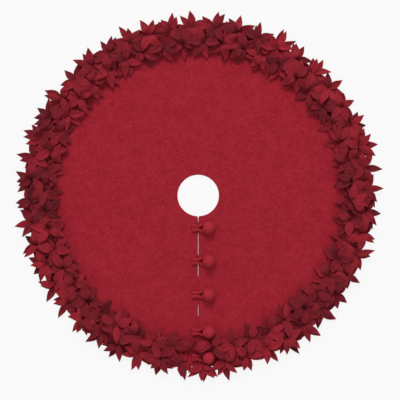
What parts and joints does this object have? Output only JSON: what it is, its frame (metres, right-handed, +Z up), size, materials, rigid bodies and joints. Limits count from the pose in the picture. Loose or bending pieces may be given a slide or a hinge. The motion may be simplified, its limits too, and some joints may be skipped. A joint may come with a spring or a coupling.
{
  "type": "tree skirt",
  "caption": "Round felt tree skirt with a trunk hole, a slit closed by ball buttons and cord loops, and a hem of die-cut felt flowers.",
  "frame": {"origin": "centre of the trunk hole on the skirt's underside", "axes": "+Z up through the trunk hole, -Y along the slit to the hem, +X to the right of the slit, where the ball buttons are"},
  "size_m": [1.2496, 1.2559, 0.0467],
  "materials": {
    "panel_felt": "thick wool-look felt, matt",
    "petal_felt": "die-cut felt, matt, some pieces darker",
    "ball_felt": "wet-felted ball, matt and fuzzy",
    "cord_felt": "rolled felt cord, matt and fuzzy",
    "thread": "twisted sewing thread"
  },
  "bodies": {
    "skirt": {"felt_panel": "panel_felt", "flowers_01": "petal_felt", "flowers_02": "petal_felt", "flowers_03": "petal_felt", "flowers_04": "petal_felt", "flowers_05": "petal_felt", "flowers_06": "petal_felt", "flowers_07": "petal_felt", "flowers_08": "petal_felt", "flowers_09": "petal_felt", "flowers_10": "petal_felt", "flowers_11": "petal_felt", "flowers_12": "petal_felt", "flowers_13": "petal_felt", "flowers_14": "petal_felt", "flowers_15": "petal_felt", "flowers_16": "petal_felt", "flowers_17": "petal_felt", "flowers_18": "petal_felt", "flowers_19": "petal_felt", "flowers_20": "petal_felt", "flowers_21": "petal_felt", "flowers_22": "petal_felt", "flowers_23": "petal_felt", "flowers_24": "petal_felt", "flowers_25": "petal_felt", "flowers_26": "petal_felt", "flowers_27": "petal_felt", "flowers_28": "petal_felt", "flowers_29": "petal_felt", "flowers_30": "petal_felt", "flowers_31": "petal_felt", "flowers_32": "petal_felt", "flower_tacks": "thread", "button_shanks": "thread", "loop_stitches": "thread"},
    "button_1": {"button_1": "ball_felt"},
    "button_2": {"button_2": "ball_felt"},
    "button_3": {"button_3": "ball_felt"},
    "button_4": {"button_4": "ball_felt"},
    "button_5": {"button_5": "ball_felt"},
    "loop_1": {"loop_1": "cord_felt"},
    "loop_2": {"loop_2": "cord_felt"},
    "loop_3": {"loop_3": "cord_felt"},
    "loop_4": {"loop_4": "cord_felt"},
    "loop_5": {"loop_5": "cord_felt"}
  },
  "joints": [
    {"name": "button_1_twist", "type": "hinge", "parent": "skirt", "child": "button_1", "pos_m": [0.035, -0.11, 0.026], "axis": [0, 0, 1], "range_deg": [-90, 90], "stiffness_Nm_per_rad": 0.00002},
    {"name": "button_2_twist", "type": "hinge", "parent": "skirt", "child": "button_2", "pos_m": [0.035, -0.22264, 0.026], "axis": [0, 0, 1], "range_deg": [-90, 90], "stiffness_Nm_per_rad": 0.00002},
    {"name": "button_3_twist", "type": "hinge", "parent": "skirt", "child": "button_3", "pos_m": [0.035, -0.33528, 0.026], "axis": [0, 0, 1], "range_deg": [-90, 90], "stiffness_Nm_per_rad": 0.00002},
    {"name": "button_4_twist", "type": "hinge", "parent": "skirt", "child": "button_4", "pos_m": [0.035, -0.462, 0.026], "axis": [0, 0, 1], "range_deg": [-90, 90], "stiffness_Nm_per_rad": 0.00002},
    {"name": "button_5_twist", "type": "hinge", "parent": "skirt", "child": "button_5", "pos_m": [0.035, -0.548, 0.026], "axis": [0, 0, 1], "range_deg": [-90, 90], "stiffness_Nm_per_rad": 0.00002},
    {"name": "loop_1_lift", "type": "hinge", "parent": "skirt", "child": "loop_1", "pos_m": [-0.017, -0.11, 0.0093], "axis": [0, -1, 0], "range_deg": [0, 150], "deforming": ["loop_1"]},
    {"name": "loop_2_lift", "type": "hinge", "parent": "skirt", "child": "loop_2", "pos_m": [-0.017, -0.22264, 0.0093], "axis": [0, -1, 0], "range_deg": [0, 150], "deforming": ["loop_2"]},
    {"name": "loop_3_lift", "type": "hinge", "parent": "skirt", "child": "loop_3", "pos_m": [-0.017, -0.33528, 0.0093], "axis": [0, -1, 0], "range_deg": [0, 150], "deforming": ["loop_3"]},
    {"name": "loop_4_lift", "type": "hinge", "parent": "skirt", "child": "loop_4", "pos_m": [-0.017, -0.462, 0.0093], "axis": [0, -1, 0], "range_deg": [0, 150], "deforming": ["loop_4"]},
    {"name": "loop_5_lift", "type": "hinge", "parent": "skirt", "child": "loop_5", "pos_m": [-0.017, -0.548, 0.0093], "axis": [0, -1, 0], "range_deg": [0, 150], "deforming": ["loop_5"]}
  ]
}
